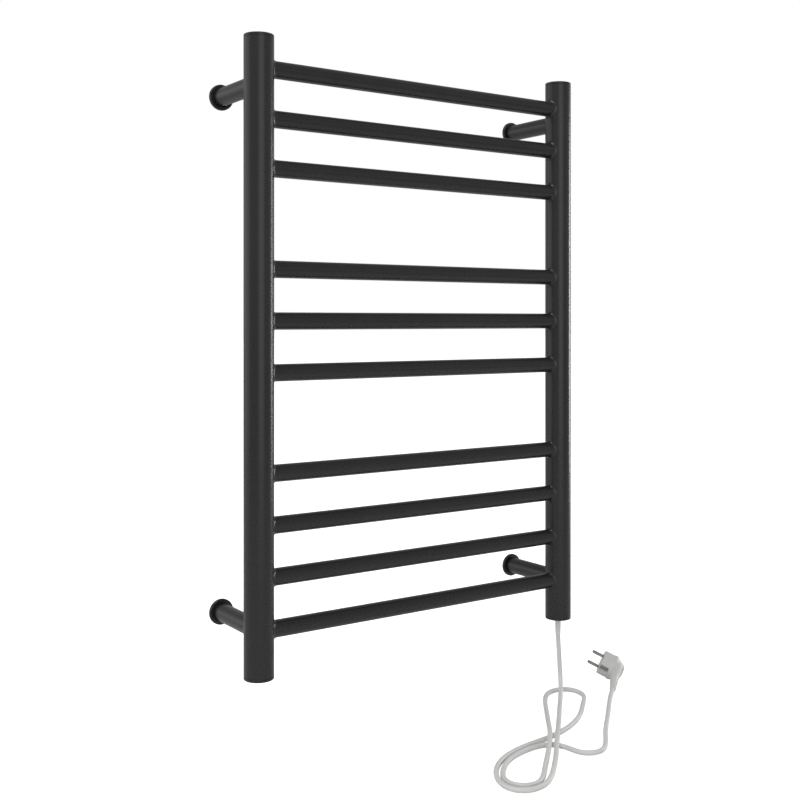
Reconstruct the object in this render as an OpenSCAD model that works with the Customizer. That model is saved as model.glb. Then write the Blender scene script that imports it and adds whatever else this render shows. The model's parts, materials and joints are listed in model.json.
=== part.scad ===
// Wall-mounted electric towel warmer rack: two posts, ten heated bars, four wall brackets and a mains lead.
// Millimetres. The wall is the plane y = 0, the rack stands in front of it (y < 0), and z is up.
// The origin is the centre of the four wall screws.

/* [Rack] */
// Distance between the two post axes
post_spacing = 500; // [420:5:620]
// Overall height of each post, end caps included
rack_h = 800; // [760:5:1000]
// Outside diameter of the posts
post_d = 38; // [34:0.5:46]
// Wall of the post tube
post_wall = 1.5; // [1:0.1:2]
// Distance from the wall to the post axes
wall_gap = 110; // [95:1:140]

/* [Bars] */
// Outside diameter of the bars
bar_d = 22; // [18:0.5:26]
// Wall of the bar tube
bar_wall = 1.2; // [0.8:0.1:1.6]
// Height of the lowest bar above the post's bottom end
bar_first_z = 58.5; // [55:0.5:72]
// Spacing of neighbouring bars in the lower and middle groups
bar_pitch = 65; // [54:0.5:68]
// Spacing of neighbouring bars in the top group
bar_pitch_top = 62; // [52:0.5:66]
// Spacing across the two wide gaps for folded towels
bar_gap = 126; // [100:1:135]
// How far a bar's end passes the inside of the post wall
bar_reach = 1.2; // [0.4:0.1:3]

/* [Wall brackets] */
// Height of the brackets from each end of the post
bracket_end_z = 60; // [45:1:90]
// Outside diameter of the standoff sleeve
standoff_d = 24; // [22:0.5:28]
// Wall of the standoff sleeve
standoff_wall = 2; // [1.5:0.1:2.5]
// Gap between the sleeve's end and the wall
standoff_wall_gap = 3.2; // [3:0.1:5]
// Diameter of the cover rosette
rosette_d = 34; // [33:0.5:44]
// Thickness of the cover rosette
rosette_t = 4.4; // [4:0.1:8]
// Diameter of the wall stub's foot
stub_foot_d = 28; // [26:0.5:29]
// Thickness of the wall stub's foot
stub_foot_t = 2.6; // [2:0.1:2.8]
// Length of the wall stub from the wall
stub_l = 24; // [20:1:30]
// Diameter of the wall screw's hole
wall_screw_d = 5.4; // [4.5:0.1:6]
// Diameter of the bracket's joining stud
stud_d = 8; // [6:1:8]
// Diameter of the set screws
grub_d = 5; // [4:1:5]

/* [End caps] */
// Thickness of the cap's rim outside the tube
cap_t = 4; // [1.5:0.1:6]
// Depth of the cap's spigot in the tube
cap_spigot = 6; // [5:0.5:8]
// Chamfer round the cap's edge
cap_chamfer = 0.8; // [0.3:0.1:1.4]

/* [Mains lead] */
// Diameter of the lead
cord_d = 6.8; // [6:0.1:7.2]
// Diameter of the grommet's collar
grommet_collar_d = 10.6; // [10.6:0.2:16]
// Length of the grommet below the cap
grommet_l = 24; // [20:1:30]
// Diameter of the heating cable
heater_d = 5.5; // [4.5:0.1:6]

/* [Plug] */
// Diameter of the plug's round face
plug_face_d = 37; // [36:0.5:39]
// Diameter of the plug's widest ring
plug_ring_d = 38.4; // [37.5:0.1:40]
// Depth of the part of the plug that goes into a socket
plug_face_l = 17; // [15:0.5:18]
// Depth of the grip behind the widest ring
plug_grip_l = 19; // [14:0.5:24]
// Length of the plug's bend relief from the plug's axis
plug_relief_l = 68; // [60:1:72]
// Diameter of a plug pin
pin_d = 4.8; // [4.8:0.1:4.8]
// Length of a plug pin outside the face
pin_l = 19; // [19:0.5:19]
// Spacing of the plug pins
pin_spacing = 19; // [19:0.5:19]

/* [Hidden] */
$fn = 72;

// Clearances
rosette_wall_gap = 0.3; // rosette off the wall
weld_fit = 0.05;      // radial, bar in the post's hole and cap in the tube
slide_fit = 0.1;      // radial, rosette on the sleeve
stub_fit = 0.08;      // radial, wall stub in the sleeve
thread_fit = 0.05;    // radial, between a screw and its hole
touch_gap = 0.3;      // between faces of different bodies
eps = 0.5;            // how far a cutter runs past a face

// Driving places
post_r = post_d / 2;
post_bore_r = post_r - post_wall;
post_x = post_spacing / 2;
post_y = -wall_gap;
post_bottom = -rack_h / 2;
tube_l = rack_h - 2 * cap_t;
bar_r = bar_d / 2;
bar_bore_r = bar_r - bar_wall;
// A bar's end clears the inside of the post wall at the bar's own sides
bar_end = sqrt(post_bore_r * post_bore_r - bar_r * bar_r) - bar_reach;
bar_l = post_spacing - 2 * bar_end;
// Steps from the bottom up: four bars, three and three, with wide gaps between the groups
bar_steps = [bar_first_z, bar_pitch, bar_pitch, bar_pitch, bar_gap, bar_pitch, bar_pitch, bar_gap,
             bar_pitch_top, bar_pitch_top];
function bar_sum(n) = n < 0 ? 0 : bar_steps[n] + bar_sum(n - 1);
function bar_z(number) = post_bottom + bar_sum(10 - number);
bracket_z = rack_h / 2 - bracket_end_z;

// Brackets
standoff_r = standoff_d / 2;
sleeve_bore_r = standoff_r - standoff_wall;
// The sleeve's solid end at the post, and the hollow that takes the wall stub
sleeve_solid_l = 18;
post_back = post_y + post_r;
hollow_l = -post_back - sleeve_solid_l - standoff_wall_gap;
stud_l = 26;
insert_l = 11;
insert_r = stud_d / 2 + 1.6;
// The insert's flat end stays inside the post's round back
insert_set_back = post_r - sqrt(post_r * post_r - insert_r * insert_r) + 0.05;
screw_head_r = 5.2;
screw_head_depth = 9;
grub_y = -stub_l / 2 - 2;
grub_bite = 1.5;
rosette_edge = 0.8;

// Inside the right post's foot
spigot_top = post_bottom + cap_t + cap_spigot;
plate_t = 2;
clamp_w = 20;
clamp_deep = 14;
clamp_h = 6;
clamp_screw_d = 3;
clamp_screw_x = 7;
clamp_top = spigot_top + plate_t + clamp_h;
core_r = 1.1;
cord_top = clamp_top + 2.5;
core_bend_z = cord_top + 1;
earth_core_y = 1.9;
earth_bend = 3.4;
crimp_z = cord_top + 10;
crimp_l = 9;
crimp_r = 2.6;
lug_y = post_y + 12.7;
lug_z = spigot_top + plate_t;
lug_r = 4;
lug_t = 1;
lug_tab_l = 5.3;
lug_tab_w = 3.2;
earth_screw_d = 3;
heater_r = heater_d / 2;
heater_bend = 14;
// The cable rises 1.5 mm inside the right post's axis, and its return lead is 10 mm outside it
heater_up_x = post_x - 1.5;
heater_down_x = post_x + 10;
cutout_size = [8, 5, 22];
cutout_z = bar_sum(0) + post_bottom + 26;
cord_r = cord_d / 2;
grommet_collar_l = 2;
grommet_neck_r = 4.8;
grommet_lip_r = 6.5;
grommet_lip_l = 2;
grommet_taper = [4.6, 4];

// The lead: its route is x, y from the post's axis and the height of its centre above the floor it lies on
floor_drop = 115;
floor_z = post_bottom - floor_drop;
grommet_end = post_bottom - grommet_l;
plug_at = [124, 2, 15.2];
plug_heading = -140;
plug_tilt = 8.2;
plug_roll = -25;
// The lead leaves the plug behind the part that enters a socket
plug_face_from = 8.5;
plug_ring_l = 3;
plug_back_r = 10;
plug_relief_r = [8, 4.5];
plug_pin_root = 10;
pin_root_d = 3.6;
clip_w = 7.6;
clip_t = 0.6;
clip_l = 13;
clip_groove = 3;
route = [
    [1, -1, 64], [2, -2, 38], [-1, -8, 10.6], [-43, -50, 2.6], [-95, -105, 10.7],
    [-138, -149, 14.6], [-169, -181, 3.4], [-224, -233, 3.4], [-249, -241, 3.4], [-270, -240, 3.4],
    [-286, -220, 3.4], [-274, -183, 3.4], [-240, -151, 3.4], [-202, -136, 3.4], [-164, -130, 3.4],
    [-128, -128, 3.4], [-86, -116, 3.4], [-42, -93, 3.4], [-2, -55, 3.4], [30, -29, 3.4],
    [25, 9, 3.4], [-18, 13, 3.4], [-59, -39, 3.4], [-104, -93, 8.5], [-146, -146, 15.6],
    [-182, -178, 4], [-209, -203, 3.4], [-240, -234, 3.4], [-267, -227, 3.4], [-274, -206, 3.4],
    [-264, -186, 3.4], [-233, -157, 3.4], [-203, -146, 3.4], [-166, -140, 3.4], [-143, -148, 3.4],
    [-136, -169, 3.4], [-137, -194, 3.4], [-104, -208, 3.4], [-61, -158, 3.4], [-11, -115, 3.4],
    [41, -66, 3.6]
];

function along_plug(l) = plug_at + l * [cos(plug_tilt) * cos(plug_heading),
                                        cos(plug_tilt) * sin(plug_heading), -sin(plug_tilt)];
lead_points = concat([[0, 0, floor_drop - grommet_l]], route, [along_plug(plug_relief_l)]);
// The steps of the swept tube between two points, and its sides
lead_steps = 2;
lead_sides = 10;

// A smooth curve (uniform cubic B-spline) whose ends are the first and last points
function mirror_point(a, b) = 2 * a - b;
function lead_frame(p) = concat([mirror_point(p[0], p[1])], p,
                                [mirror_point(p[len(p) - 1], p[len(p) - 2])]);
function spline_point(q, i, t) =
    (pow(1 - t, 3) * q[i] + (3 * pow(t, 3) - 6 * t * t + 4) * q[i + 1]
     + (3 * t * t + 3 * t + 1 - 3 * pow(t, 3)) * q[i + 2] + pow(t, 3) * q[i + 3]) / 6;
function spline_path(p, steps) =
    let (q = lead_frame(p))
    concat([for (i = [0 : len(p) - 2], k = [0 : steps - 1]) spline_point(q, i, k / steps)],
           [p[len(p) - 1]]);
function unit(v) = v / norm(v);
function path_tangent(p, i, first, last) =
    i == 0 ? first : i == len(p) - 1 ? last : unit(p[i + 1] - p[i - 1]);
function turn_side(side, t) = unit(side - (side * t) * t);

// A round tube swept along a path; its side vector is carried from ring to ring without twisting
module swept_tube(p, r, sides, first, last) {
    tangents = [for (i = [0 : len(p) - 1]) path_tangent(p, i, first, last)];
    side_vectors = [for (i = 0, s = turn_side([1, 0, 0], tangents[0]); i < len(p);
                         i = i + 1, s = i < len(p) ? turn_side(s, tangents[i]) : s) s];
    points = [for (i = [0 : len(p) - 1], k = [0 : sides - 1])
              let (a = 360 * k / sides, up = cross(tangents[i], side_vectors[i]))
              p[i] + r * (cos(a) * side_vectors[i] + sin(a) * up)];
    walls = [for (i = [0 : len(p) - 2], k = [0 : sides - 1], half = [0, 1])
             let (a = i * sides + k, b = i * sides + (k + 1) % sides)
             half == 0 ? [a, b, b + sides] : [a, b + sides, a + sides]];
    start = [[for (k = [0 : sides - 1]) sides - 1 - k]];
    finish = [[for (k = [0 : sides - 1]) (len(p) - 1) * sides + k]];
    polyhedron(points = points, faces = [for (f = concat(start, walls, finish)) [for (n = [len(f) - 1 : -1 : 0]) f[n]]],
               convexity = 10);
}

// ---- Helpers ----
module along_x(x, y, z) {
    translate([x, y, z]) rotate([0, 90, 0]) children();
}

// From a post's axis towards the middle of the rack
module toward_middle(side, z) {
    translate([side * post_x, post_y, z]) rotate([0, -90 * side, 0]) children();
}

// Cylinder along -Y whose back face is at y
module out_from_wall(x, y, z) {
    translate([x, y, z]) rotate([90, 0, 0]) children();
}

module tube(r_out, r_in, l) {
    difference() {
        cylinder(r = r_out, h = l);
        translate([0, 0, -eps]) cylinder(r = r_in, h = l + 2 * eps);
    }
}

// A rod or cable in the plane y = post_y: straight up from z1 to z2 at x
module upright(x, z1, z2, r) {
    translate([x, post_y, z1]) cylinder(r = r, h = z2 - z1);
}

// ---- Posts and bars ----
// side is -1 for the left post and 1 for the right one
module post(side) {
    color("#3a3a3c") difference() {
        translate([side * post_x, post_y, post_bottom + cap_t]) tube(post_r, post_bore_r, tube_l);
        for (n = [1 : 10])
            toward_middle(side, bar_z(n)) cylinder(r = bar_r + weld_fit, h = post_r + eps);
        for (z = [-bracket_z, bracket_z])
            out_from_wall(side * post_x, post_back + eps, z) cylinder(r = insert_r + thread_fit, h = post_r);
    }
}

module bar(n) {
    color("#2b2b2d") along_x(-bar_l / 2, post_y, bar_z(n)) tube(bar_r, bar_bore_r, bar_l);
}

// ---- End caps ----
// Built with the rim's outer face at z = 0 and the spigot upwards
module cap(hole_r) {
    difference() {
        union() {
            cylinder(r1 = post_r - cap_chamfer, r2 = post_r, h = cap_chamfer);
            translate([0, 0, cap_chamfer]) cylinder(r = post_r, h = cap_t - cap_chamfer);
            cylinder(r = post_bore_r - weld_fit, h = cap_t + cap_spigot);
        }
        translate([0, 0, cap_t]) cylinder(r = post_bore_r - 2, h = cap_spigot + eps);
        if (hole_r > 0) translate([0, 0, -eps]) cylinder(r = hole_r, h = cap_t + 2 * eps);
    }
}

module cap_at(side, top, hole_r = 0) {
    color("#343436") translate([side * post_x, post_y, top ? rack_h / 2 : post_bottom])
        rotate([top ? 180 : 0, 0, 0]) cap(hole_r);
}

// ---- Wall brackets: side -1 or 1, level -1 or 1 ----
module standoff(side, level) {
    color("#3f3f41") difference() {
        out_from_wall(side * post_x, -standoff_wall_gap, level * bracket_z)
            cylinder(r = standoff_r, h = -post_y - standoff_wall_gap);
        out_from_wall(side * post_x, eps, level * bracket_z)
            cylinder(r = sleeve_bore_r, h = hollow_l + standoff_wall_gap + eps);
        // The end is coped to the post
        translate([side * post_x, post_y, level * bracket_z - standoff_d])
            cylinder(r = post_r + weld_fit, h = 2 * standoff_d);
        out_from_wall(side * post_x, 0, level * bracket_z)
            cylinder(r = stud_d / 2 + thread_fit, h = -post_y);
        translate([side * post_x, grub_y, level * bracket_z - standoff_d])
            cylinder(r = grub_d / 2 + thread_fit, h = standoff_d);
    }
}

module wall_stub(side, level) {
    color("#9a9c9e") difference() {
        union() {
            out_from_wall(side * post_x, 0, level * bracket_z) cylinder(d = stub_foot_d, h = stub_foot_t);
            out_from_wall(side * post_x, 0, level * bracket_z)
                cylinder(r = sleeve_bore_r - stub_fit, h = stub_l);
        }
        out_from_wall(side * post_x, eps, level * bracket_z) cylinder(d = wall_screw_d, h = stub_l + 2 * eps);
        out_from_wall(side * post_x, -stub_l + screw_head_depth, level * bracket_z)
            cylinder(r = screw_head_r, h = screw_head_depth + eps);
        translate([side * post_x, grub_y, level * bracket_z - standoff_d])
            cylinder(r = grub_d / 2 + thread_fit, h = standoff_d - sleeve_bore_r + grub_bite);
    }
}

// The cover rosette slides on the sleeve and hides the stub's foot
module rosette(side, level) {
    color("#1d1d1f") difference() {
        union() {
            out_from_wall(side * post_x, -rosette_wall_gap, level * bracket_z)
                cylinder(d = rosette_d, h = rosette_t - rosette_edge);
            out_from_wall(side * post_x, -rosette_wall_gap - rosette_t + rosette_edge, level * bracket_z)
                cylinder(d1 = rosette_d, d2 = rosette_d - 2 * rosette_edge, h = rosette_edge);
        }
        out_from_wall(side * post_x, eps, level * bracket_z)
            cylinder(r = standoff_r + slide_fit, h = rosette_t + 2);
        out_from_wall(side * post_x, eps, level * bracket_z)
            cylinder(d = stub_foot_d + 2 * touch_gap, h = eps + stub_foot_t + touch_gap);
    }
}

// Places that every bracket shares
module each_bracket() {
    for (side = [-1, 1], level = [-1, 1])
        translate([side * post_x, 0, level * bracket_z]) children();
}

// Rivet nuts in the back of the posts
module post_inserts() {
    color("#c2a25a") each_bracket() out_from_wall(0, post_back - insert_set_back, 0)
        tube(insert_r, stud_d / 2 + thread_fit, insert_l);
}

module joining_studs() {
    color("#8d9093") each_bracket() out_from_wall(0, post_back + stud_l - insert_l + 1, 0)
        cylinder(d = stud_d, h = stud_l);
}

module grub_screws() {
    color("#5a5c5e") each_bracket() translate([0, grub_y, -standoff_r])
        difference() {
            cylinder(d = grub_d, h = standoff_wall + grub_bite);
            translate([0, 0, -eps]) cylinder(d = grub_d / 2, h = 2.2 + eps, $fn = 6);
        }
}

// ---- Heating ----
module heater_bend_at(x, z, from) {
    translate([x, post_y, z]) rotate([90, 0, 0]) rotate([0, 0, from])
        rotate_extrude(angle = 90) translate([heater_bend, 0]) circle(r = heater_r);
}

// One cable through every bar: in at the bottom right, across and up from bar to bar,
// and back down the right post
module heating_cable() {
    turn_x = heater_up_x - heater_bend;
    down_turn_x = heater_down_x - heater_bend;
    color("#b3402c") {
        upright(heater_up_x, crimp_z + crimp_l, bar_z(10) - heater_bend, heater_r);
        heater_bend_at(turn_x, bar_z(10) - heater_bend, 0);
        for (n = [1 : 10])
            along_x(-turn_x, post_y, bar_z(n))
                cylinder(r = heater_r, h = turn_x + (n == 1 ? down_turn_x : turn_x));
        for (n = [2 : 10]) {
            side = n % 2 == 0 ? -1 : 1;
            heater_bend_at(side * turn_x, bar_z(n) + heater_bend, side > 0 ? -90 : 180);
            upright(side * heater_up_x, bar_z(n) + heater_bend, bar_z(n - 1) - heater_bend, heater_r);
            heater_bend_at(side * turn_x, bar_z(n - 1) - heater_bend, side > 0 ? 0 : 90);
        }
        heater_bend_at(down_turn_x, bar_z(1) - heater_bend, 0);
        upright(heater_down_x, cutout_z + cutout_size[2], bar_z(1) - heater_bend, heater_r);
        upright(heater_down_x, crimp_z + crimp_l, cutout_z, heater_r);
    }
}

// Over-temperature cut-out in the return lead
module thermal_cutout() {
    color("#e8e4d8") translate([heater_down_x - cutout_size[0] / 2, post_y - cutout_size[1] / 2, cutout_z])
        cube(cutout_size);
}

module crimp_connectors() {
    color("#c9b458") {
        upright(heater_up_x, crimp_z, crimp_z + crimp_l, crimp_r);
        upright(heater_down_x, crimp_z, crimp_z + crimp_l, crimp_r);
    }
}

// ---- Wires inside the right post's foot ----
module live_wire() {
    color("#6b4226") upright(heater_up_x, cord_top, crimp_z, core_r);
}

// Steps outwards with two round bends
module neutral_wire() {
    from_x = 2 * post_x - heater_up_x;
    bend = (heater_down_x - from_x) / 2;
    color("#3f6fb5") {
        upright(from_x, cord_top, core_bend_z, core_r);
        translate([from_x + bend, post_y, core_bend_z]) rotate([90, 0, 0]) rotate([0, 0, 90])
            rotate_extrude(angle = 90) translate([bend, 0]) circle(r = core_r);
        translate([from_x + bend, post_y, core_bend_z + 2 * bend]) rotate([90, 0, 0]) rotate([0, 0, -90])
            rotate_extrude(angle = 90) translate([bend, 0]) circle(r = core_r);
        upright(heater_down_x, core_bend_z + 2 * bend, crimp_z, core_r);
    }
}

// Turns over towards the wall and down onto its lug
module earth_wire() {
    color("#7fae3a") translate([post_x, post_y + earth_core_y, 0]) {
        translate([0, 0, cord_top]) cylinder(r = core_r, h = core_bend_z - cord_top);
        translate([0, earth_bend, core_bend_z]) rotate([90, 0, 90])
            rotate_extrude(angle = 180) translate([earth_bend, 0]) circle(r = core_r);
        translate([0, 2 * earth_bend, lug_z + lug_t]) cylinder(r = core_r, h = core_bend_z - lug_z - lug_t);
    }
}

module earth_lug() {
    color("#d0d2d4") translate([post_x, lug_y, lug_z]) difference() {
        union() {
            cylinder(r = lug_r, h = lug_t);
            translate([-lug_tab_w / 2, -lug_tab_l, 0]) cube([lug_tab_w, lug_tab_l, lug_t]);
        }
        translate([0, 0, -eps]) cylinder(r = earth_screw_d / 2 + thread_fit, h = lug_t + 2 * eps);
    }
}

module earth_screw() {
    color("#a8aaac") translate([post_x, lug_y, spigot_top - 1]) {
        cylinder(d = earth_screw_d, h = plate_t + lug_t + 1);
        translate([0, 0, plate_t + lug_t + 1]) cylinder(r = 2.8, h = 1.6);
    }
}

// A plate across the tube on the cap's spigot, with a block that grips the lead
module cord_clamp() {
    color("#55575a") difference() {
        union() {
            translate([post_x, post_y, spigot_top]) cylinder(r = post_bore_r - touch_gap, h = plate_t);
            translate([post_x - clamp_w / 2, post_y - clamp_deep / 2, spigot_top + plate_t - eps])
                cube([clamp_w, clamp_deep, clamp_h + eps]);
        }
        translate([post_x, post_y, spigot_top - eps]) cylinder(r = cord_r + weld_fit, h = clamp_h + plate_t + 2 * eps);
        translate([post_x, lug_y, spigot_top - eps])
            cylinder(r = earth_screw_d / 2 + thread_fit, h = plate_t + 2 * eps);
        for (side = [-1, 1])
            out_from_wall(post_x + side * clamp_screw_x, post_y + clamp_deep, spigot_top + plate_t + clamp_h / 2)
                cylinder(r = clamp_screw_d / 2 + thread_fit, h = 2 * clamp_deep);
    }
}

module clamp_screws() {
    color("#a8aaac") for (side = [-1, 1])
        out_from_wall(post_x + side * clamp_screw_x, post_y + clamp_deep / 2 - 1,
                      spigot_top + plate_t + clamp_h / 2) {
            cylinder(d = clamp_screw_d, h = clamp_deep - 1);
            translate([0, 0, clamp_deep - 1]) cylinder(r = 2.6, h = 1.5);
        }
}

// ---- The lead ----
module inner_cord() {
    color("#d5d5d5") upright(post_x, grommet_end, cord_top, cord_r);
}

module cord_grommet() {
    color("#f2f2f2") translate([post_x, post_y, post_bottom]) difference() {
        union() {
            translate([0, 0, -grommet_l]) cylinder(r1 = grommet_taper[1], r2 = grommet_taper[0],
                                                   h = grommet_l - grommet_collar_l);
            translate([0, 0, -grommet_collar_l]) cylinder(d = grommet_collar_d, h = grommet_collar_l);
            cylinder(r = grommet_neck_r, h = cap_t + grommet_lip_l);
            translate([0, 0, cap_t]) cylinder(r = grommet_lip_r, h = grommet_lip_l);
        }
        translate([0, 0, -grommet_l - eps])
            cylinder(r = cord_r + slide_fit, h = grommet_l + cap_t + grommet_lip_l + 2 * eps);
    }
}

module power_cord() {
    color("#cfcfcf") translate([post_x, post_y, floor_z])
        swept_tube(spline_path(lead_points, lead_steps), cord_r, lead_sides,
                   [0, 0, -1], -unit(along_plug(1) - plug_at));
}

// ---- Plug: x runs out along the lead, z out of the face with the pins ----
module at_plug() {
    translate([post_x, post_y, floor_z] + plug_at) rotate([0, 0, plug_heading]) rotate([0, plug_tilt, 0])
        rotate([plug_roll, 0, 0]) rotate([90, 0, 0]) children();
}

module clip_groove(w, l) {
    for (turn = [0, 180]) rotate([0, 0, turn])
        translate([plug_face_d / 2 - clip_groove, -w / 2, plug_face_from + plug_face_l - l])
            cube([clip_groove + 2, w, l + eps]);
}

module plug_body() {
    ring_from = plug_face_from - plug_ring_l;
    face_at = plug_face_from + plug_face_l;
    color("#bdbdbd") at_plug() difference() {
        union() {
            translate([0, 0, plug_face_from]) cylinder(d = plug_face_d, h = plug_face_l);
            translate([0, 0, ring_from]) cylinder(d = plug_ring_d, h = plug_ring_l);
            translate([0, 0, plug_face_from - plug_grip_l])
                cylinder(r1 = plug_back_r, r2 = plug_ring_d / 2, h = plug_grip_l - plug_ring_l);
            rotate([0, 90, 0]) cylinder(r1 = plug_relief_r[0], r2 = plug_relief_r[1], h = plug_relief_l);
        }
        clip_groove(clip_w + 0.4, clip_l + 0.4);
        for (side = [-1, 1]) translate([0, side * pin_spacing / 2, face_at - plug_pin_root])
            cylinder(d = pin_root_d + 2 * thread_fit, h = plug_pin_root + eps);
    }
}

module plug_pins() {
    color("#8c8c8c") at_plug()
        for (side = [-1, 1])
            translate([0, side * pin_spacing / 2, plug_face_from + plug_face_l]) {
                translate([0, 0, -plug_pin_root]) cylinder(d = pin_root_d, h = plug_pin_root + eps);
                cylinder(d = pin_d, h = pin_l - pin_d / 2);
                translate([0, 0, pin_l - pin_d / 2]) sphere(d = pin_d);
            }
}

module plug_earth_clips() {
    color("#9a9a9a") at_plug()
        for (turn = [0, 180]) rotate([0, 0, turn])
            translate([plug_face_d / 2 - clip_groove, -clip_w / 2, plug_face_from + plug_face_l - clip_l])
                cube([clip_t, clip_w, clip_l - 0.5]);
}

post(-1);  // left_post
post(1);  // right_post
bar(1);  // bar_01
bar(2);  // bar_02
bar(3);  // bar_03
bar(4);  // bar_04
bar(5);  // bar_05
bar(6);  // bar_06
bar(7);  // bar_07
bar(8);  // bar_08
bar(9);  // bar_09
bar(10);  // bar_10
cap_at(-1, true);  // cap_top_left
cap_at(1, true);  // cap_top_right
cap_at(-1, false);  // cap_bottom_left
cap_at(1, false, grommet_neck_r + weld_fit);  // cap_bottom_right
standoff(-1, 1);  // standoff_upper_left
standoff(1, 1);  // standoff_upper_right
standoff(-1, -1);  // standoff_lower_left
standoff(1, -1);  // standoff_lower_right
wall_stub(-1, 1);  // wall_stub_upper_left
wall_stub(1, 1);  // wall_stub_upper_right
wall_stub(-1, -1);  // wall_stub_lower_left
wall_stub(1, -1);  // wall_stub_lower_right
rosette(-1, 1);  // rosette_upper_left
rosette(1, 1);  // rosette_upper_right
rosette(-1, -1);  // rosette_lower_left
rosette(1, -1);  // rosette_lower_right
post_inserts();
joining_studs();
grub_screws();
heating_cable();
thermal_cutout();
crimp_connectors();
live_wire();
neutral_wire();
earth_wire();
earth_lug();
earth_screw();
cord_clamp();
clamp_screws();
inner_cord();
cord_grommet();
power_cord();
plug_body();
plug_pins();
plug_earth_clips();
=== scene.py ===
# Electric towel warmer rack, in metres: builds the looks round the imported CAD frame.
import json
import math
import bpy
import numpy as np
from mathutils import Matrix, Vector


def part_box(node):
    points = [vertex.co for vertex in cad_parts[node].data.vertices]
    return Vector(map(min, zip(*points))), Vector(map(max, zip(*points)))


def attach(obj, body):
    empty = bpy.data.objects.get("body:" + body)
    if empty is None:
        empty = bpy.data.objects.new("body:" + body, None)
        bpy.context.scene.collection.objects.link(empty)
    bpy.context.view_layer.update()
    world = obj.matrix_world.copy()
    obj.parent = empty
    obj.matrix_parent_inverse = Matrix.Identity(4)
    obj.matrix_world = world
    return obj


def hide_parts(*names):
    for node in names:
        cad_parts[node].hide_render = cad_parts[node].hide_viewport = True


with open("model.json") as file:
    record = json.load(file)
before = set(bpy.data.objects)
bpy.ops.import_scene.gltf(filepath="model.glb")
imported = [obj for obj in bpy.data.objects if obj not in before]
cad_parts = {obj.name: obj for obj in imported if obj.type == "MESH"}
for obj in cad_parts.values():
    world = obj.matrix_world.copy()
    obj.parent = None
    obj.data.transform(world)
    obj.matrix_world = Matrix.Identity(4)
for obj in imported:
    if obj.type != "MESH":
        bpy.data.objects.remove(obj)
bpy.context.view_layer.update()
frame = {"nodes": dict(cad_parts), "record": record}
print("stage: frame loaded")

mm = 0.001
upwards = (0, 0, 1.0)
sideways = (1.0, 0, 0)
onAxis = 0.01  # radius of a ring that closes a turned shape on its axis, mm


def unit(v):
    # each vector divided by its own length
    return v / np.linalg.norm(v, axis=-1, keepdims=True)


def smoothStep(x, a, b):
    # 3t^2 - 2t^3, where t = (x-a)/(b-a) is held between 0 and 1
    t = np.clip((x - a) / (b - a), 0.0, 1.0)
    return t * t * (3 - 2 * t)


def gridFaces(rows, cols, loopRows, loopCols):
    # quad (i, j) joins points (i, j), (i, j+1), (i+1, j+1), (i+1, j); looped sides wrap round
    i, j = np.meshgrid(np.arange(rows if loopRows else rows - 1),
                       np.arange(cols if loopCols else cols - 1), indexing="ij")
    i2, j2 = (i + 1) % rows, (j + 1) % cols
    return np.stack([i * cols + j, i * cols + j2, i2 * cols + j2, i2 * cols + j], -1).reshape(-1, 4)


def gridPart(points, loopRows=False):
    # points[row, column, xyz], columns closed into rings; open ends get a middle point and a fan.
    # Returned as (vertices, quads, triangles), turned outwards by the sign of the enclosed volume.
    rows, cols = points.shape[:2]
    verts = points.reshape(-1, 3)
    quads = gridFaces(rows, cols, loopRows, True)
    tris = np.zeros((0, 3), int)
    if not loopRows:
        j = np.arange(cols)
        j2 = (j + 1) % cols
        first, last = len(verts), len(verts) + 1
        verts = np.vstack([verts, points[0].mean(0), points[-1].mean(0)])
        top = (rows - 1) * cols
        tris = np.vstack([np.stack([j2, j, np.full(cols, first)], -1),
                          np.stack([top + j, top + j2, np.full(cols, last)], -1)])
    allTris = np.vstack([quads[:, [0, 1, 2]], quads[:, [0, 2, 3]], tris])
    a, b, c = (verts[allTris[:, k]] - verts.mean(0) for k in range(3))
    if np.einsum("ij,ij->i", a, np.cross(b, c)).sum() < 0:
        quads, tris = quads[:, ::-1], tris[:, ::-1]
    return verts, quads, tris


def joinParts(parts):
    # several closed shells in one mesh: vertex numbers are shifted by what came before
    shift = np.cumsum([0] + [len(p[0]) for p in parts[:-1]])
    return (np.vstack([p[0] for p in parts]),
            np.vstack([p[1] + s for p, s in zip(parts, shift)]),
            np.vstack([p[2] + s for p, s in zip(parts, shift)]))


def addPiece(name, part, slot, body="frame", replaces=(), sharpDegrees=35):
    # a part becomes a mesh as it stands, quads before triangles; edges that bend by more than
    # sharpDegrees stay sharp. The piece wears its slot's finish.
    verts, quads, tris = part
    corners = np.concatenate([quads.ravel(), tris.ravel()])
    starts = np.concatenate([np.arange(len(quads)) * 4, quads.size + np.arange(len(tris)) * 3])
    mesh = bpy.data.meshes.new(name)
    mesh.vertices.add(len(verts))
    mesh.vertices.foreach_set("co", verts.astype(np.float32).ravel())
    mesh.loops.add(len(corners))
    mesh.loops.foreach_set("vertex_index", corners.astype(np.int32))
    mesh.polygons.add(len(starts))
    mesh.polygons.foreach_set("loop_start", starts.astype(np.int32))
    mesh.update(calc_edges=True)
    mesh.validate()
    mesh.shade_smooth()
    mesh.set_sharp_from_angle(angle=math.radians(sharpDegrees))
    mesh.materials.append(finishes[slot])
    piece = bpy.data.objects.new(name, mesh)
    bpy.context.scene.collection.objects.link(piece)
    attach(piece, body)
    if replaces:
        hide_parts(*replaces)
    return piece


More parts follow.
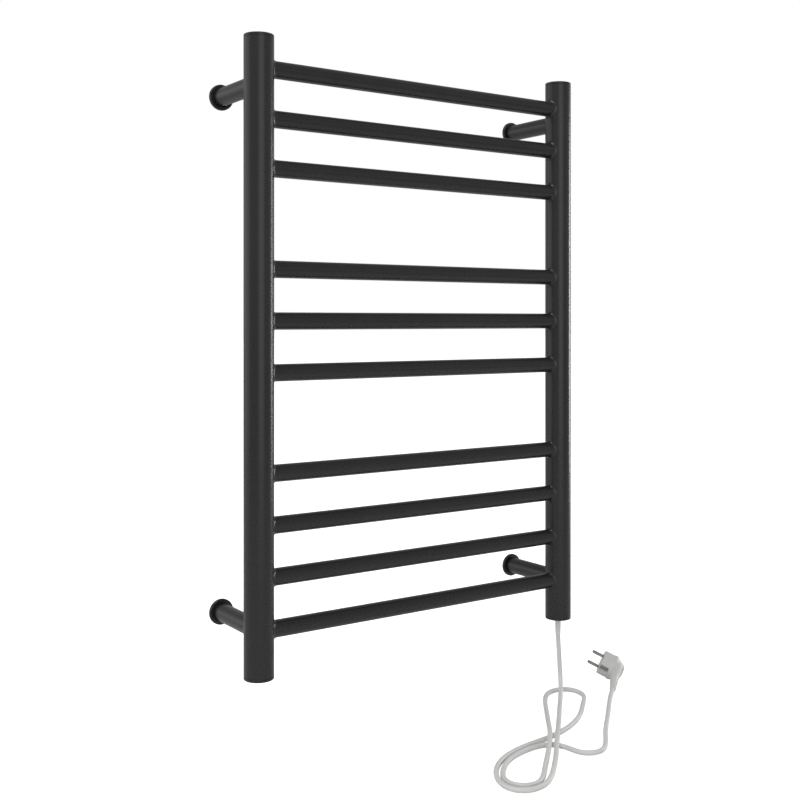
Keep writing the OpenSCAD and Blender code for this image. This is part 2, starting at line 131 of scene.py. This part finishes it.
def roundedProfile(corners, steps=5):
    # rows (r, h, size): a corner P between A and B becomes the curve (1-t)^2 P1 + 2t(1-t) P + t^2 P2,
    # with P1 and P2 the corner's size away from P, towards A and B; size 0 leaves it sharp
    rows = np.array(corners, float)
    points = rows[:, :2]
    t = np.linspace(0, 1, steps)[:, None]
    out = []
    for k, size in enumerate(rows[:, 2]):
        p = points[k]
        if size == 0:
            out.append(p[None])
            continue
        p1 = p + unit(points[k - 1] - p) * size
        p2 = p + unit(points[(k + 1) % len(points)] - p) * size
        out.append((1 - t) ** 2 * p1 + 2 * t * (1 - t) * p + t * t * p2)
    return np.vstack(out)


def turned(profile, origin, axis, side, sides=72):
    # point(u, v) = origin + h(u) axis + r(u) (cos v side + sin v (axis x side)); profile rows are (r, h)
    v = np.linspace(0, 2 * math.pi, sides, endpoint=False)
    ring = np.cos(v)[:, None] * np.array(side, float) + np.sin(v)[:, None] * np.cross(axis, side)
    r, h = profile[:, 0, None, None], profile[:, 1, None, None]
    return np.array(origin) + h * np.array(axis, float) + r * ring[None]


def grooveDepth(x, groove):
    # an odd count of grooves, a pitch apart and centred on the middle: the depth times the smooth
    # step, from wall[0] to wall[1], of cos(2 pi (x - middle) / pitch)
    wave = np.cos((x - groove["middle"]) / groove["pitch"] * 2 * math.pi)
    within = np.abs(x - groove["middle"]) < groove["count"] * groove["pitch"] / 2
    return groove["depth"] * smoothStep(wave, *groove["wall"]) * within


# materials
def linear(hexColour):
    # sRGB to linear light: c/12.92 below 0.04045, else ((c+0.055)/1.055)^2.4
    c = np.array([int(hexColour[k:k + 2], 16) / 255 for k in (1, 3, 5)])
    c = np.where(c <= 0.04045, c / 12.92, ((c + 0.055) / 1.055) ** 2.4)
    return (*c, 1.0)


def addNode(tree, kind, inputs=None, **settings):
    # an input given as a socket is linked, any other is set
    node = tree.nodes.new(kind)
    for key, value in settings.items():
        setattr(node, key, value)
    for key, value in (inputs or {}).items():
        if isinstance(value, bpy.types.NodeSocket):
            tree.links.new(value, node.inputs[key])
        else:
            node.inputs[key].default_value = value
    return node


noiseRange = (0.3, 0.7)  # nearly all values of a noise lie between these


def newFinish(name, look):
    # Slow patches (patchMm) vary the colour between two tones; fine grain (grainMm) moves the
    # roughness and, with depthMm, the surface itself. A noise's scale is its patches per metre.
    material = bpy.data.materials.new(name)
    material.use_nodes = True
    tree = material.node_tree
    shader = tree.nodes["Principled BSDF"]
    place = addNode(tree, "ShaderNodeTexCoord").outputs["Object"]
    patches = addNode(tree, "ShaderNodeTexNoise", {"Vector": place, "Scale": 1000 / look["patchMm"],
                                                   "Detail": 3.0, "Roughness": 0.55})
    grain = addNode(tree, "ShaderNodeTexNoise", {"Vector": place, "Scale": 1000 / look["grainMm"],
                                                 "Detail": 2.0, "Roughness": 0.5})
    tones = addNode(tree, "ShaderNodeValToRGB", {"Fac": patches.outputs["Fac"]})
    for end, position, tone in zip(tones.color_ramp.elements, noiseRange, look["tones"]):
        end.position = position
        end.color = linear(tone)
    tree.links.new(tones.outputs["Color"], shader.inputs["Base Color"])
    gloss = addNode(tree, "ShaderNodeMapRange", {
        "Value": grain.outputs["Fac"], "From Min": noiseRange[0], "From Max": noiseRange[1],
        "To Min": look["roughness"][0], "To Max": look["roughness"][1]})
    tree.links.new(gloss.outputs["Result"], shader.inputs["Roughness"])
    bump = addNode(tree, "ShaderNodeBump", {"Height": grain.outputs["Fac"], "Strength": 1.0,
                                            "Distance": look["depthMm"] * mm})
    tree.links.new(bump.outputs["Normal"], shader.inputs["Normal"])
    shader.inputs["Metallic"].default_value = look.get("metallic", 0.0)
    if "IOR" in look:
        shader.inputs["IOR"].default_value = look["IOR"]
    return material


looks = {
    # Epoxy-polyester powder coat baked on steel: satin near-black, with the faint orange peel of a
    # melted powder (about 1 mm across, drawn at 2.6 mm so that it shows)
    "black_paint": {"tones": ("#202022", "#242426"), "patchMm": 60, "grainMm": 2.6, "depthMm": 0.002,
                    "roughness": (0.27, 0.29), "IOR": 1.5},
    # Bright zinc plating: fine crystals give a mild blue-grey sparkle
    "zinc_steel": {"tones": ("#b4b8bc", "#c6c9cc"), "patchMm": 8, "grainMm": 0.9, "depthMm": 0.01,
                   "roughness": (0.28, 0.42), "metallic": 1.0},
    # Silicone jacket, extruded: dull brick red with a soft drag
    "heater_jacket": {"tones": ("#8e3324", "#a23c2b"), "patchMm": 25, "grainMm": 1.2, "depthMm": 0.02,
                      "roughness": (0.55, 0.7), "IOR": 1.41},
    # Moulded PBT case: warm off-white, spark-eroded mould grain
    "cutout_case": {"tones": ("#dcd7c6", "#e4e0d2"), "patchMm": 10, "grainMm": 0.8, "depthMm": 0.03,
                    "roughness": (0.45, 0.6), "IOR": 1.55},
    # Tin on brass, drawn and crimped: soft, slightly warm grey shine
    "tinned_brass": {"tones": ("#c2bda8", "#d2cdb8"), "patchMm": 5, "grainMm": 0.7, "depthMm": 0.01,
                     "roughness": (0.25, 0.4), "metallic": 1.0},
    # PVC wire insulation, extruded, in the three wire colours; green runs into yellow
    "brown_insulation": {"tones": ("#5c3a22", "#6a4528"), "patchMm": 8, "grainMm": 0.8, "depthMm": 0.01,
                         "roughness": (0.35, 0.5), "IOR": 1.53},
    "blue_insulation": {"tones": ("#2f5f9e", "#3a6cb0"), "patchMm": 8, "grainMm": 0.8, "depthMm": 0.01,
                        "roughness": (0.35, 0.5), "IOR": 1.53},
    "green_insulation": {"tones": ("#6f9a2c", "#c8c63a"), "patchMm": 9, "grainMm": 0.8, "depthMm": 0.01,
                         "roughness": (0.35, 0.5), "IOR": 1.53},
    # Moulded black nylon: dull, with a fine mould grain
    "nylon_black": {"tones": ("#1f1f20", "#29292a"), "patchMm": 12, "grainMm": 0.9, "depthMm": 0.03,
                    "roughness": (0.5, 0.65), "IOR": 1.53},
    # Extruded pale grey PVC jacket: a low sheen, with a slight waviness over the twisted cores
    "grey_pvc": {"tones": ("#e4e4e2", "#eaeae8"), "patchMm": 22, "grainMm": 1.6, "depthMm": 0.03,
                 "roughness": (0.42, 0.55), "IOR": 1.53},
    # Injection-moulded PVC plug: a shade darker than the jacket, with spark-eroded grain
    "plug_grey": {"tones": ("#d8d8d7", "#dfdfde"), "patchMm": 14, "grainMm": 0.9, "depthMm": 0.04,
                  "roughness": (0.36, 0.5), "IOR": 1.53},
    # Moulded soft white thermoplastic rubber: dull and even
    "white_rubber": {"tones": ("#ececea", "#f4f4f2"), "patchMm": 12, "grainMm": 0.9, "depthMm": 0.03,
                     "roughness": (0.5, 0.62), "IOR": 1.5},
    # Nickel on turned brass: bright, a little uneven
    "nickel": {"tones": ("#9c9894", "#aca8a4"), "patchMm": 6, "grainMm": 0.6, "depthMm": 0.006,
               "roughness": (0.18, 0.3), "metallic": 1.0},
}
finishes = {slot: newFinish(slot + "Finish", look) for slot, look in looks.items()}

# each CAD node wears the finish of its material slot
for subpart in frame["record"]["subparts"]:
    nodeMesh = frame["nodes"][subpart["node"]].data
    for k in range(max(1, len(nodeMesh.materials))):
        if len(nodeMesh.materials) <= k:
            nodeMesh.materials.append(None)
        nodeMesh.materials[k] = finishes[subpart["material_slot"]]
print("stage: materials")

# camera: level, turned from square on towards +X, with its view shifted down
view = {"place": (-0.8875, -1.3479, 0.0449), "turnDegrees": -34.487, "lensMm": 50.0, "sensorMm": 36.0,
        "shiftY": -0.0991}
lens = bpy.data.cameras.new("camera")
lens.lens = view["lensMm"]
lens.sensor_width = view["sensorMm"]
lens.shift_y = view["shiftY"]
camera = bpy.data.objects.new("camera", lens)
camera.location = view["place"]
camera.rotation_euler = (math.radians(90), 0, math.radians(view["turnDegrees"]))
bpy.context.scene.collection.objects.link(camera)
bpy.context.scene.camera = camera

# places on the rack: the right post's axis and radius, its foot with the cap on, and a bar's radius
postLow, postHigh = (np.array(corner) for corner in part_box("right_post"))
postRight = (postLow + postHigh) / 2
postRadius = (postHigh[0] - postLow[0]) / 2 / mm
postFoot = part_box("cap_bottom_right")[0][2]
barRadius = (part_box("bar_01")[1][2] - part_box("bar_01")[0][2]) / 2 / mm

# the mains lead; its route and the plug's place are in mm from the floor point under the post
lead = {"diameter": 6.8, "sides": 20, "steps": 12, "floorDrop": 115, "grommet": 24,
        "route": [(1, -1, 64), (2, -2, 38), (-1, -8, 10.6), (-43, -50, 2.6), (-95, -105, 10.7),
                  (-138, -149, 14.6), (-169, -181, 3.4), (-224, -233, 3.4), (-249, -241, 3.4),
                  (-270, -240, 3.4), (-286, -220, 3.4), (-274, -183, 3.4), (-240, -151, 3.4),
                  (-202, -136, 3.4), (-164, -130, 3.4), (-128, -128, 3.4), (-86, -116, 3.4),
                  (-42, -93, 3.4), (-2, -55, 3.4), (30, -29, 3.4), (25, 9, 3.4), (-18, 13, 3.4),
                  (-59, -39, 3.4), (-104, -93, 8.5), (-146, -146, 15.6), (-182, -178, 4), (-209, -203, 3.4),
                  (-240, -234, 3.4), (-267, -227, 3.4), (-274, -206, 3.4), (-264, -186, 3.4),
                  (-233, -157, 3.4), (-203, -146, 3.4), (-166, -140, 3.4), (-143, -148, 3.4),
                  (-136, -169, 3.4), (-137, -194, 3.4), (-104, -208, 3.4), (-61, -158, 3.4),
                  (-11, -115, 3.4), (41, -66, 3.6)]}
plug = {"at": (124, 2, 15.2), "heading": -140, "tilt": 8.2, "roll": -25, "relief": 68}
floorPoint = np.array([postRight[0], postRight[1], postFoot - lead["floorDrop"] * mm])


def turn(axis, degrees):
    # rotation matrix about a main axis
    c, s = math.cos(math.radians(degrees)), math.sin(math.radians(degrees))
    return np.array({"x": [[1, 0, 0], [0, c, -s], [0, s, c]], "y": [[c, 0, s], [0, 1, 0], [-s, 0, c]],
                     "z": [[c, -s, 0], [s, c, 0], [0, 0, 1]]}[axis])


plugPlace = floorPoint + np.array(plug["at"]) * mm
plugTurn = turn("z", plug["heading"]) @ turn("y", plug["tilt"]) @ turn("x", plug["roll"]) @ turn("x", 90)
alongPlug = plugTurn @ np.array([1.0, 0, 0])


def splinePath(points, steps):
    # uniform cubic B-spline, ends mirrored so that it starts and stops on its first and last point:
    # p(t) = ((1-t)^3 a + (3t^3-6t^2+4) b + (3t^2+3t+1-3t^3) c + t^3 d) / 6
    q = np.vstack([2 * points[0] - points[1], points, 2 * points[-1] - points[-2]])
    t = np.linspace(0, 1, steps, endpoint=False)[None, :, None]
    a, b, c, d = (q[k:len(q) - 3 + k][:, None] for k in range(4))
    p = ((1 - t) ** 3 * a + (3 * t ** 3 - 6 * t * t + 4) * b
         + (3 * t * t + 3 * t + 1 - 3 * t ** 3) * c + t ** 3 * d) / 6
    return np.vstack([p.reshape(-1, 3), points[-1]])


def tubeAlong(path, radius, sides):
    # ring(i) = path(i) + radius (cos v side(i) + sin v up(i)); side(i) lies level, across the heading,
    # and where the path hangs straight down it keeps the heading of the first stretch that doesn't
    tangent = unit(np.gradient(path, axis=0))
    level = np.hypot(tangent[:, 0], tangent[:, 1])
    heading = np.unwrap(np.arctan2(tangent[:, 1], tangent[:, 0]))
    firstLevel = np.argmax(level > 0.02)  # leans by more than a degree
    heading[:firstLevel] = heading[firstLevel]
    side = np.stack([np.sin(heading), -np.cos(heading), np.zeros(len(path))], -1)
    up = np.cross(side, tangent)
    v = np.linspace(0, 2 * math.pi, sides, endpoint=False)[None, :, None]
    return path[:, None] + radius * (np.cos(v) * side[:, None] + np.sin(v) * up[:, None])


leadPoints = np.vstack([floorPoint + np.array([0, 0, lead["floorDrop"] - lead["grommet"]]) * mm,
                        floorPoint + np.array(lead["route"]) * mm,
                        plugPlace + alongPlug * plug["relief"] * mm])
leadPath = splinePath(leadPoints, lead["steps"])
powerCord = addPiece("powerCord", gridPart(tubeAlong(leadPath, lead["diameter"] / 2 * mm, lead["sides"])),
                     "grey_pvc", replaces=("power_cord",))

# the plug's head, mm along its axis: a conical grip at the back, the widest ring, the round face
plugShape = {"back": -10.5, "backRadius": 10, "ringFrom": 5.6, "ringTo": 8.4, "ringRadius": 19.2,
             "ringSlope": (0.5, 1.0), "face": 25.5, "faceRadius": 18.5, "faceFrom": 9.0, "sides": 144,
             "grooveFrom": 12.3, "grooveRadius": 15.5, "grooveHalf": 4.0, "grooveStep": 0.4}
# its bend relief, mm along the lead: half-sizes at the grip, at the neck and at the thin end
reliefShape = {"grip": 4, "neck": 40, "thin": 66, "endEdge": 0.5, "sides": 48, "power": (2.6, 2.0),
               "halfHeight": (8.6, 6.0, 4.7), "halfWidth": (15.2, 6.0, 4.7),
               "stretches": ((4, 38, 40), (38.2, 64, 120), (64.2, plug["relief"], 12)),
               "grooves": {"middle": 52.7, "pitch": 4.4, "count": 5, "depth": 0.9, "wall": (0.1, 0.8)}}


def onPlug(points):
    # plug frame (mm; x along the lead, z out of the face with the pins) to the rack's frame
    return plugPlace + points @ plugTurn.T * mm


def plugHead():
    # turned about z; in the two side grooves, |y| < grooveHalf from grooveFrom to the face, x becomes
    # +-sqrt(grooveRadius^2 - y^2). Two rows grooveStep apart give the grooves a steep end.
    s = plugShape
    profile = roundedProfile([
        (onAxis, s["back"], 0), (s["backRadius"], s["back"], 3.2),
        (s["ringRadius"] - s["ringSlope"][0], s["ringFrom"] - s["ringSlope"][1], 1.2),
        (s["ringRadius"], s["ringFrom"], 0.5), (s["ringRadius"], s["ringTo"], 0.5),
        (s["faceRadius"], s["faceFrom"], 0.3), (s["faceRadius"], s["grooveFrom"] - s["grooveStep"], 0),
        (s["faceRadius"], s["grooveFrom"], 0), (s["faceRadius"], s["face"], 1.1), (onAxis, s["face"], 0)],
        steps=7)
    points = turned(profile, (0, 0, 0), upwards, sideways, s["sides"])
    x, y, z = points[..., 0], points[..., 1], points[..., 2]
    inGroove = ((np.abs(y) < s["grooveHalf"]) & (z > s["grooveFrom"] - s["grooveStep"] / 2)
                & (np.hypot(x, y) > s["grooveRadius"]))
    grooveFloor = np.sign(x) * np.sqrt(np.maximum(s["grooveRadius"] ** 2 - y ** 2, 1))
    points[..., 0] = np.where(inGroove, grooveFloor, x)
    return gridPart(onPlug(points))


def plugRelief():
    # loft along x with the cross-section |y/b|^n + |z/a|^n = 1: a and b fall smoothly from the grip's
    # half-sizes to the neck's and then to the thin end's, less the grooves; n falls with the first
    s = reliefShape
    x = np.concatenate([np.linspace(*stretch) for stretch in s["stretches"]])
    fall, thinning = smoothStep(x, s["grip"], s["neck"]), smoothStep(x, s["neck"], s["thin"])
    a, b = (size[0] + (size[1] - size[0]) * fall + (size[2] - size[1]) * thinning
            - grooveDepth(x, s["grooves"]) for size in (s["halfHeight"], s["halfWidth"]))
    a[-1] -= s["endEdge"]
    b[-1] -= s["endEdge"]
    n = s["power"][0] + (s["power"][1] - s["power"][0]) * fall
    v = np.linspace(0, 2 * math.pi, s["sides"], endpoint=False)[None]
    y = b[:, None] * np.sign(np.cos(v)) * np.abs(np.cos(v)) ** (2 / n[:, None])
    z = a[:, None] * np.sign(np.sin(v)) * np.abs(np.sin(v)) ** (2 / n[:, None])
    return gridPart(onPlug(np.stack([np.broadcast_to(x[:, None], y.shape), y, z], -1)))


head = addPiece("plugHead", plugHead(), "plug_grey", replaces=("plug_body",))
relief = addPiece("plugRelief", plugRelief(), "plug_grey", sharpDegrees=60)

# grommet where the lead leaves the post, mm up from the cap's face
grommet = {"length": lead["grommet"], "taper": (4.6, 3.95), "rows": 90, "tipEdge": 0.25, "bore": 3.45,
           "collar": 5.3, "collarLength": 2.0, "collarSlope": 0.4, "neck": 4.7, "neckLength": 3, "sides": 48,
           "grooves": {"middle": -14.1, "pitch": 3.2, "count": 5, "depth": 0.35, "wall": (0.3, 0.9)}}


def grommetPart():
    # turned about the post's axis: r rises evenly from taper[1] at the tip towards taper[0] at the
    # cap, less the grooves; then come the collar, the neck in the cap's hole and, back down, the bore
    g = grommet
    sleeveTop = -g["collarLength"] - g["collarSlope"]
    z = np.linspace(-g["length"], sleeveTop, g["rows"])
    r = g["taper"][1] + (g["taper"][0] - g["taper"][1]) * (z / g["length"] + 1)
    r = r - grooveDepth(z, g["grooves"])
    r[0] -= g["tipEdge"]
    collar = roundedProfile([(g["taper"][0], sleeveTop, 0), (g["collar"], -g["collarLength"], 0.5),
                             (g["collar"], 0, 0.2), (g["neck"], 0, 0), (g["neck"], g["neckLength"], 0),
                             (g["bore"], g["neckLength"], 0), (g["bore"], -g["length"], 0)])
    profile = np.vstack([np.stack([r, z], -1), collar])
    return gridPart(turned(profile * mm, (postRight[0], postRight[1], postFoot), upwards, sideways,
                           g["sides"]), loopRows=True)


addPiece("cordGrommet", grommetPart(), "white_rubber", replaces=("cord_grommet",))

# the posts' end caps, mm inwards from their flat face; the hole's radius lets the grommet through
cap = {"rim": 4.0, "spigot": 6.0, "tubeWall": 1.6, "edge": 0.8, "seam": 0.9, "seamDepth": 0.5,
       "seamEdge": 0.15, "spigotEdge": 0.5, "hole": 4.85}


def capPart(node, top, holeRadius):
    # turned about the post's axis: flat face with a rounded edge, a thin seam where the rim meets the
    # tube, and the spigot inside the tube, a tube wall smaller in radius
    low, high = (np.array(c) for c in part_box(node))
    centre = (low + high) / 2
    centre[2] = high[2] if top else low[2]
    inwards = -1.0 if top else 1.0
    r = (high[0] - low[0]) / 2 / mm
    spigot, seamFloor, inner = r - cap["tubeWall"], r - cap["seamDepth"], max(holeRadius, onAxis)
    rim, spigotEnd = cap["rim"], cap["rim"] + cap["spigot"]
    profile = roundedProfile([
        (r, 0, cap["edge"]), (r, rim - cap["seam"], cap["seamEdge"]), (seamFloor, rim - cap["seam"] / 2, 0),
        (seamFloor, rim, 0), (spigot, rim, 0), (spigot, spigotEnd, cap["spigotEdge"]),
        (inner, spigotEnd, 0), (inner, 0, 0)])
    return gridPart(turned(profile * mm, centre, (0, 0, inwards), sideways), loopRows=holeRadius > 0)


for node, top, hole in (("cap_top_left", True, 0), ("cap_top_right", True, 0),
                        ("cap_bottom_left", False, 0), ("cap_bottom_right", False, cap["hole"])):
    addPiece("endCap_" + node[4:], capPart(node, top, hole), "black_paint", replaces=(node,))
print("stage: plug, grommet and caps")

# cover rosettes: rings that slide along their sleeves, mm out from the wall
rosette = {"width": 4.9, "edge": 1.5, "lip": 0.5}
for node in [n for n in frame["nodes"] if n.startswith("rosette")]:
    low, high = (np.array(c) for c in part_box(node))
    middle = (low + high) / 2
    outer, thick = (high[0] - low[0]) / 2 / mm, (high[1] - low[1]) / mm
    inner = outer - rosette["width"]
    profile = roundedProfile([(outer, 0, rosette["lip"]), (outer, thick, rosette["edge"]),
                              (inner, thick, rosette["lip"]), (inner, 0, 0)])
    rings = turned(profile * mm, (middle[0], high[1], middle[2]), (0, -1.0, 0), sideways)
    addPiece("cover_" + node[8:], gridPart(rings, loopRows=True), "black_paint", body=node + "_cover",
             replaces=(node,))

# weld beads under the paint, where the bars meet the posts, mm
weld = {"blend": 4.4, "depth": 0.7, "sides": 72, "steps": 9}


def weldRing(centre, outwards):
    # Where a bar (radius r) meets a post (radius R): saddle P(v) = (sqrt(R^2 - y^2), y, z) with
    # y = r sin v, z = r cos v. The bead runs from B = P + blend outwards on the bar to Q on the post,
    # the point's unrolled place (R asin(y/R), z) moved out by blend, along
    # (1-t)^2 B + 2t(1-t) P + t^2 Q, and closes through a point below both surfaces.
    v = np.linspace(0, 2 * math.pi, weld["sides"], endpoint=False)
    y, z = barRadius * np.sin(v), barRadius * np.cos(v)
    angle = np.arcsin(y / postRadius)
    p = np.stack([postRadius * np.cos(angle), y, z], -1)
    b = p + np.array([weld["blend"], 0, 0])
    far = 1 + weld["blend"] / np.hypot(postRadius * angle, z)
    q = np.stack([postRadius * np.cos(angle * far), postRadius * np.sin(angle * far), z * far], -1)
    fromBarAxis = np.stack([0 * y, y, z], -1) / barRadius
    inside = p - (np.array([1, 0, 0]) + fromBarAxis) * weld["depth"]
    t = np.linspace(0, 1, weld["steps"])[:, None, None]
    rows = np.concatenate([(1 - t) ** 2 * b + 2 * t * (1 - t) * p + t * t * q, inside[None]])
    axes = np.array([outwards, np.cross(upwards, outwards), upwards], float)
    return gridPart(centre + rows @ axes * mm, loopRows=True)


for sideName, side in (("left", -1.0), ("right", 1.0)):
    parts = []
    for bar in sorted(n for n in frame["nodes"] if n.startswith("bar_")):
        low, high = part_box(bar)
        place = np.array([side * postRight[0], postRight[1], (low[2] + high[2]) / 2])
        parts.append(weldRing(place, (-side, 0, 0)))
    addPiece("welds_" + sideName, joinParts(parts), "black_paint", sharpDegrees=80)
print("stage: covers and welds")

# the room: even and dim, a little lighter level with the rack than overhead, and plain white where
# the camera sees it; blendTo is the sine of the angle from level at which overhead begins
room = {"level": 0.5, "overhead": 0.32, "blendTo": 0.7, "seen": 1.0}
world = bpy.data.worlds.new("studio")
world.use_nodes = True
bpy.context.scene.world = world
sky = world.node_tree
background = sky.nodes["Background"]
ray = addNode(sky, "ShaderNodeLightPath")
direction = addNode(sky, "ShaderNodeSeparateXYZ",
                    {"Vector": addNode(sky, "ShaderNodeTexCoord").outputs["Generated"]})
rise = addNode(sky, "ShaderNodeMath", {0: direction.outputs["Z"]}, operation="ABSOLUTE")
belt = addNode(sky, "ShaderNodeMapRange", {
    "Value": rise.outputs[0], "From Min": 0.0, "From Max": room["blendTo"],
    "To Min": room["level"], "To Max": room["overhead"]}, interpolation_type="SMOOTHSTEP")
strength = addNode(sky, "ShaderNodeMix", {0: ray.outputs["Is Camera Ray"], 2: belt.outputs["Result"],
                                          3: room["seen"]}, data_type="FLOAT")
sky.links.new(strength.outputs[0], background.inputs["Strength"])
background.inputs["Color"].default_value = (1, 1, 1, 1)

# the floor: pale and dull; its glow is for the camera only and brings it close to the room's white
ground = {"reach": 30.0, "grey": 0.85, "roughness": 0.9, "glow": 0.9}
floorMesh = bpy.data.meshes.new("floor")
floorMesh.from_pydata([(x * ground["reach"], y * ground["reach"], floorPoint[2])
                       for x, y in ((-1, -1), (1, -1), (1, 1), (-1, 1))], [], [(0, 1, 2, 3)])
floor = bpy.data.objects.new("floor", floorMesh)
bpy.context.scene.collection.objects.link(floor)
paleFloor = bpy.data.materials.new("paleFloor")
paleFloor.use_nodes = True
floorTree = paleFloor.node_tree
floorShader = floorTree.nodes["Principled BSDF"]
floorShader.inputs["Base Color"].default_value = (ground["grey"], ground["grey"], ground["grey"], 1)
floorShader.inputs["Roughness"].default_value = ground["roughness"]
floorShader.inputs["Specular IOR Level"].default_value = 0.0
floorShader.inputs["Emission Color"].default_value = (1, 1, 1, 1)
floorRay = addNode(floorTree, "ShaderNodeLightPath")
glow = addNode(floorTree, "ShaderNodeMapRange", {"Value": floorRay.outputs["Is Camera Ray"],
                                                 "To Min": 0.0, "To Max": ground["glow"]})
floorTree.links.new(glow.outputs["Result"], floorShader.inputs["Emission Strength"])
floorMesh.materials.append(paleFloor)

# soft boxes: where they stand is an angle round the rack (degrees from +X), a distance and a height
lamps = {
    "frontBox": {"around": -102, "away": 3.0, "height": 0.3, "size": (2.0, 2.4), "radiance": 0.85},
    "leftBackBox": {"around": 145, "away": 3.0, "height": 0.2, "size": (3.0, 2.4), "radiance": 0.55},
    "rightBackStrip": {"around": -4, "away": 3.0, "height": 0.09, "size": (0.4, 1.35), "radiance": 13.0},
    "overheadLeft": {"around": 205, "away": 1.2, "height": 2.1, "size": (1.5, 1.5), "radiance": 3.8},
}
for name, box in lamps.items():
    lamp = bpy.data.lights.new(name, "AREA")
    lamp.shape = "RECTANGLE"
    lamp.size, lamp.size_y = box["size"]
    lamp.energy = box["radiance"] * math.pi * lamp.size * lamp.size_y
    around = math.radians(box["around"])
    place = np.array([box["away"] * math.cos(around), box["away"] * math.sin(around), box["height"]])
    holder = bpy.data.objects.new(name, lamp)
    holder.location = place
    # the lamp's -Z looks at the rack's middle: tipped by the height, turned by the heading
    holder.rotation_euler = (math.atan2(math.hypot(place[0], place[1]), place[2]), 0,
                             math.atan2(place[0], -place[1]))
    holder.visible_camera = False
    bpy.context.scene.collection.objects.link(holder)
bpy.context.scene.view_settings.view_transform = "Standard"
print("stage: light")
